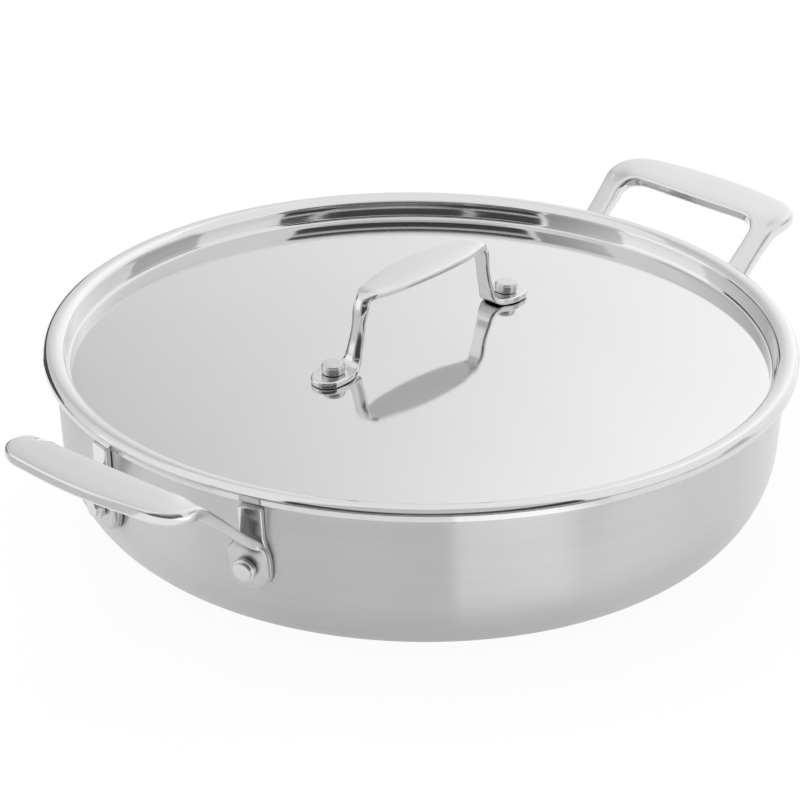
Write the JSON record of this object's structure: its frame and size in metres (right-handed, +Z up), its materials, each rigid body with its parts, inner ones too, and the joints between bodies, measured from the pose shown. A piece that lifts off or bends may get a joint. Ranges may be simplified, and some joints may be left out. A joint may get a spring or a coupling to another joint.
{
  "type": "serving pan with lid",
  "caption": "Low round steel serving pan with riveted loop side handles and a lift-off domed lid with a riveted strap handle.",
  "frame": {"origin": "centre of the pan's flat base, on the surface it stands on", "axes": "+X towards the right side handle, +Y to the back, +Z up along the pan's axis"},
  "size_m": [0.4316, 0.3304, 0.1181],
  "materials": {
    "satin_steel": "satin, brushed round the pan",
    "polished_steel": "polished stainless steel, soft edges",
    "mirror_steel": "polished stainless sheet, near mirror",
    "rivet_steel": "turned and polished"
  },
  "bodies": {
    "pan": {"pan_body": "satin_steel", "side_handle_right": "polished_steel", "side_handle_left": "polished_steel", "pan_rivet_right_back": "rivet_steel", "pan_rivet_right_front": "rivet_steel", "pan_rivet_left_back": "rivet_steel", "pan_rivet_left_front": "rivet_steel"},
    "lid": {"lid": "mirror_steel", "lid_handle": "polished_steel", "lid_rivet_right": "rivet_steel", "lid_rivet_left": "rivet_steel"}
  },
  "joints": [
    {"name": "lid_lift", "type": "slide", "parent": "pan", "child": "lid", "axis": [0, 0, 1], "range_m": [0, 0.15]}
  ]
}
